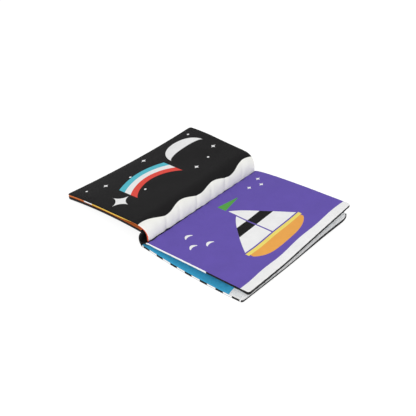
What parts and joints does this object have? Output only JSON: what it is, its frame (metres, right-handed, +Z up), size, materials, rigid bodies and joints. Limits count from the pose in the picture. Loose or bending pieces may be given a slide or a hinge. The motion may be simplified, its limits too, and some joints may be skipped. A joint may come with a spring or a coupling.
{
  "type": "cloth book",
  "caption": "Soft cloth book lying open: padded covers and leaves sewn to an upright spine strip, with printed fields of colour. The covers turn at the spine.",
  "frame": {"origin": "on the table under the gutter line at half the length of the spine, on the flat underside of the back cover", "axes": "+X across the spread from the left page to the right page, +Y along the spine away from the reader's near end, +Z up from the table"},
  "size_m": [0.2951, 0.2185, 0.0352],
  "materials": {
    "black_cloth": "smooth woven cloth over thin padding, matte with a faint sheen",
    "orange_cloth": "smooth woven cloth over thin padding, matte with a faint sheen",
    "ochre_cloth": "smooth woven cloth over thin padding, matte with a faint sheen",
    "red_orange_cloth": "smooth woven cloth over thin padding, matte with a faint sheen",
    "white_cloth": "smooth woven cloth over thin padding, matte with a faint sheen",
    "purple_cloth": "smooth woven cloth over thin padding, matte with a faint sheen",
    "blue_cloth": "smooth woven cloth over thin padding, matte with a faint sheen",
    "white_print": "printed colour on smooth woven cloth, matte",
    "teal_print": "printed colour on smooth woven cloth, matte",
    "red_print": "printed colour on smooth woven cloth, matte",
    "black_print": "printed colour on smooth woven cloth, matte",
    "orange_print": "printed colour on smooth woven cloth, matte",
    "yellow_print": "printed colour on smooth woven cloth, matte",
    "green_print": "printed colour on smooth woven cloth, matte"
  },
  "bodies": {
    "spine_and_right_leaf": {"left_leaf_fold_lower": "red_orange_cloth", "left_leaf_fold_upper": "white_cloth", "left_fold_black_print": "black_print", "right_leaf_lower_panel": "white_cloth", "right_leaf_upper_panel": "purple_cloth", "spine_strip": "black_cloth", "right_page_white_print": "white_print", "right_page_black_print": "black_print", "right_page_orange_print": "orange_print", "right_page_yellow_print": "yellow_print", "right_page_green_print": "green_print"},
    "front_cover_half": {"front_cover_outer_panel": "black_cloth", "front_cover_inner_panel": "orange_cloth", "left_leaf_lower_panel": "ochre_cloth", "left_leaf_upper_panel": "black_cloth", "left_page_white_print": "white_print", "left_page_teal_print": "teal_print", "left_page_red_print": "red_print"},
    "back_cover": {"back_cover_outer_panel": "black_cloth", "back_cover_inner_panel": "blue_cloth", "back_cover_white_print": "white_print"}
  },
  "joints": [
    {"name": "front_cover_hinge", "type": "hinge", "parent": "spine_and_right_leaf", "child": "front_cover_half", "pos_m": [-0.0059, 0, 0.0233], "axis": [0, 1, 0], "range_deg": [0, 165], "deforming": ["left_leaf_fold_lower", "left_leaf_fold_upper", "left_fold_black_print"]},
    {"name": "back_cover_hinge", "type": "hinge", "parent": "spine_and_right_leaf", "child": "back_cover", "pos_m": [-0.0046, 0, 0.0011], "axis": [0, 1, 0], "range_deg": [0, 150]}
  ]
}
